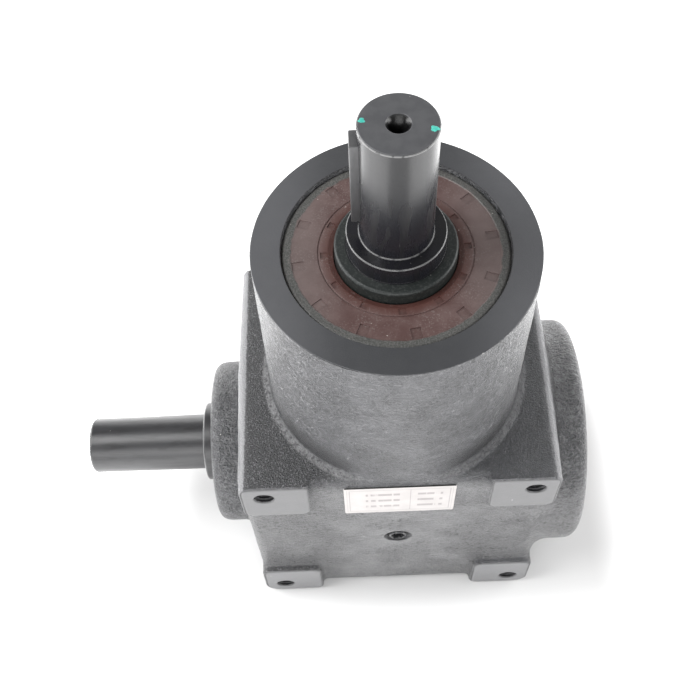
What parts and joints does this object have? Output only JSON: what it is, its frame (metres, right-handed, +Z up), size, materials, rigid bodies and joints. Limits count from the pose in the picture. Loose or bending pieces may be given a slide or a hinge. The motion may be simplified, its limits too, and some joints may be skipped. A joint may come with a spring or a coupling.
{
  "type": "right angle bevel gearbox",
  "caption": "Right-angle bevel gearbox: square cast housing, tall flanged-face neck with a keyed vertical output shaft, keyed horizontal cross shaft, closed end boss and tapped corner pads.",
  "frame": {"origin": "centre of the flat base face, on the vertical output shaft's axis", "axes": "+Z up the output shaft; -X towards the free end of the cross shaft; -Y out of the front face with the rating plate"},
  "size_m": [0.3054, 0.1456, 0.3785],
  "materials": {
    "cast_housing": "satin black paint on cast iron",
    "black_shaft_steel": "oiled black",
    "seal_rubber": "brown moulded rubber",
    "plug_steel": "painted over, worn bright at the socket",
    "label_sticker": "matt printed film",
    "bearing_steel": "ground",
    "gear_steel": "cut and case-hardened",
    "spring_steel": "phosphated"
  },
  "bodies": {
    "housing_body": {"housing": "cast_housing", "rating_plate": "label_sticker", "front_oil_plug": "plug_steel", "rear_oil_plug": "plug_steel", "output_oil_seal": "seal_rubber", "output_seal_spring": "spring_steel", "cross_oil_seal": "seal_rubber", "cross_seal_spring": "spring_steel", "output_circlip": "spring_steel", "output_shim": "bearing_steel", "left_circlip": "spring_steel", "right_circlip": "spring_steel", "right_inner_circlip": "spring_steel", "right_shim": "bearing_steel", "right_end_cap": "seal_rubber", "upper_bearing_cup": "bearing_steel", "lower_bearing_cup": "bearing_steel", "left_bearing_cup": "bearing_steel", "right_bearing_cup": "bearing_steel"},
    "output_body": {"output_shaft": "black_shaft_steel", "output_key": "black_shaft_steel", "pinion_key": "bearing_steel", "bevel_pinion": "gear_steel", "pinion_circlip": "spring_steel", "upper_bearing_cone": "bearing_steel", "lower_bearing_cone": "bearing_steel"},
    "cross_body": {"cross_shaft": "black_shaft_steel", "cross_shaft_key": "black_shaft_steel", "crown_key": "bearing_steel", "bevel_crown_gear": "gear_steel", "cross_shaft_circlip": "spring_steel", "left_bearing_cone": "bearing_steel", "right_bearing_cone": "bearing_steel"},
    "output_roller_sets": {"upper_bearing_rollers": "bearing_steel", "lower_bearing_rollers": "bearing_steel"},
    "cross_roller_sets": {"left_bearing_rollers": "bearing_steel", "right_bearing_rollers": "bearing_steel"}
  },
  "joints": [
    {"name": "cross_spin", "type": "hinge", "parent": "housing_body", "child": "cross_body", "pos_m": [0, 0, 0.0885], "axis": [1, 0, 0], "continuous": true},
    {"name": "output_spin", "type": "hinge", "parent": "housing_body", "child": "output_body", "pos_m": [0, 0, 0.0885], "axis": [0, 0, 1], "continuous": true},
    {"name": "cross_rollers_spin", "type": "hinge", "parent": "housing_body", "child": "cross_roller_sets", "pos_m": [0, 0, 0.0885], "axis": [1, 0, 0], "continuous": true},
    {"name": "output_rollers_spin", "type": "hinge", "parent": "housing_body", "child": "output_roller_sets", "pos_m": [0, 0, 0.0885], "axis": [0, 0, 1], "continuous": true}
  ],
  "couplings": [
    {"joint": "output_spin", "follows": "cross_spin", "ratio": -1.3529},
    {"joint": "cross_rollers_spin", "follows": "cross_spin", "ratio": 0.42},
    {"joint": "output_rollers_spin", "follows": "cross_spin", "ratio": -0.56824}
  ]
}
